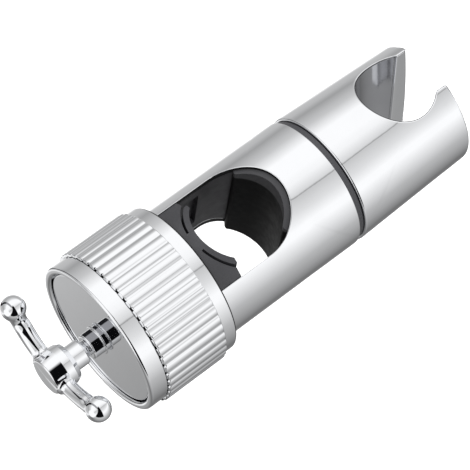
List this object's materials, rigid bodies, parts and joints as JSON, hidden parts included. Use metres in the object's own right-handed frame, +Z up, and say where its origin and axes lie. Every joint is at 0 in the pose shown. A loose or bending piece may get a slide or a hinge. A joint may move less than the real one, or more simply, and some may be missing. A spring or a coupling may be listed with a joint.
{
  "type": "shower head holder",
  "caption": "Chromed sliding holder for a shower rail: fluted clamping knob with a double hook, through bore with jaw and seat, and a swivelling conical socket for a handset.",
  "frame": {"origin": "on the rail's axis, in the middle of the clamp's seat", "axes": "+Z up along the rail's axis, +X along the body from the knob to the handset holder"},
  "size_m": [0.1264, 0.044, 0.044],
  "materials": {
    "chrome": "polished",
    "grey_plastic": "satin",
    "black_rubber": "matte",
    "dark_plastic": "matte",
    "steel": "bright",
    "brass": "machined",
    "white_plastic": "matte"
  },
  "bodies": {
    "bracket": {"body_sleeve": "chrome", "body_core": "grey_plastic", "rail_seat": "black_rubber", "swivel_washer": "steel", "swivel_spring_washer": "steel", "friction_ring": "dark_plastic", "swivel_seal": "black_rubber"},
    "holder": {"handset_holder": "chrome", "holder_insert": "brass", "swivel_screw": "steel"},
    "clamp": {"clamp_jaw": "grey_plastic", "spindle_screw": "steel", "thrust_washer": "white_plastic", "front_thrust_washer": "white_plastic", "spindle_bush": "brass", "cover_disc": "chrome", "post_lock_washer": "steel", "hook_post": "chrome", "double_hook": "chrome"},
    "knob": {"knob_shell": "chrome", "knob_nut": "grey_plastic"}
  },
  "joints": [
    {"name": "holder_swivel", "type": "hinge", "parent": "bracket", "child": "holder", "pos_m": [0.0262, 0, 0], "axis": [1, 0, 0], "continuous": true},
    {"name": "clamp_travel", "type": "slide", "parent": "bracket", "child": "clamp", "axis": [1, 0, 0], "range_m": [0, 0.0068]},
    {"name": "knob_turn", "type": "hinge", "parent": "clamp", "child": "knob", "pos_m": [-0.04005, 0, 0], "axis": [1, 0, 0], "range_deg": [0, 612]}
  ],
  "couplings": [
    {"joint": "clamp_travel", "follows": "knob_turn", "m_per_rad": 0.00063662}
  ]
}
